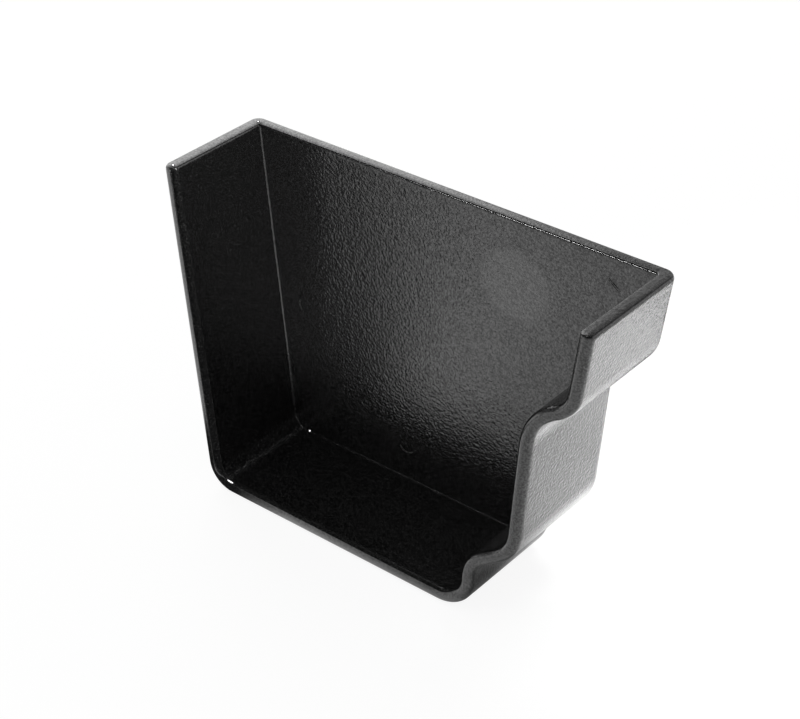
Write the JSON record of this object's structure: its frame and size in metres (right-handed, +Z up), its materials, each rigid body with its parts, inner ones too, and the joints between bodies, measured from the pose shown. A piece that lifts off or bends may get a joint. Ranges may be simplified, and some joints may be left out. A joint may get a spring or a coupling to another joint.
{
  "type": "gutter end cap",
  "caption": "Cast gutter end cap: short trough with a leaning back and an ogee front, closed by a flat end wall, open at the top and at the rim that slips over a gutter.",
  "frame": {"origin": "middle of the casting seen from above, at the level of its flat bottom", "axes": "+X across the gutter from the leaning back to the moulded front, +Y along the gutter towards the closed end, +Z up"},
  "size_m": [0.1305, 0.035, 0.0968],
  "materials": {
    "coated_casting": "black powder coat with a fine leather texture, half gloss"
  },
  "bodies": {
    "root": {"end_cap": "coated_casting"}
  },
  "joints": []
}
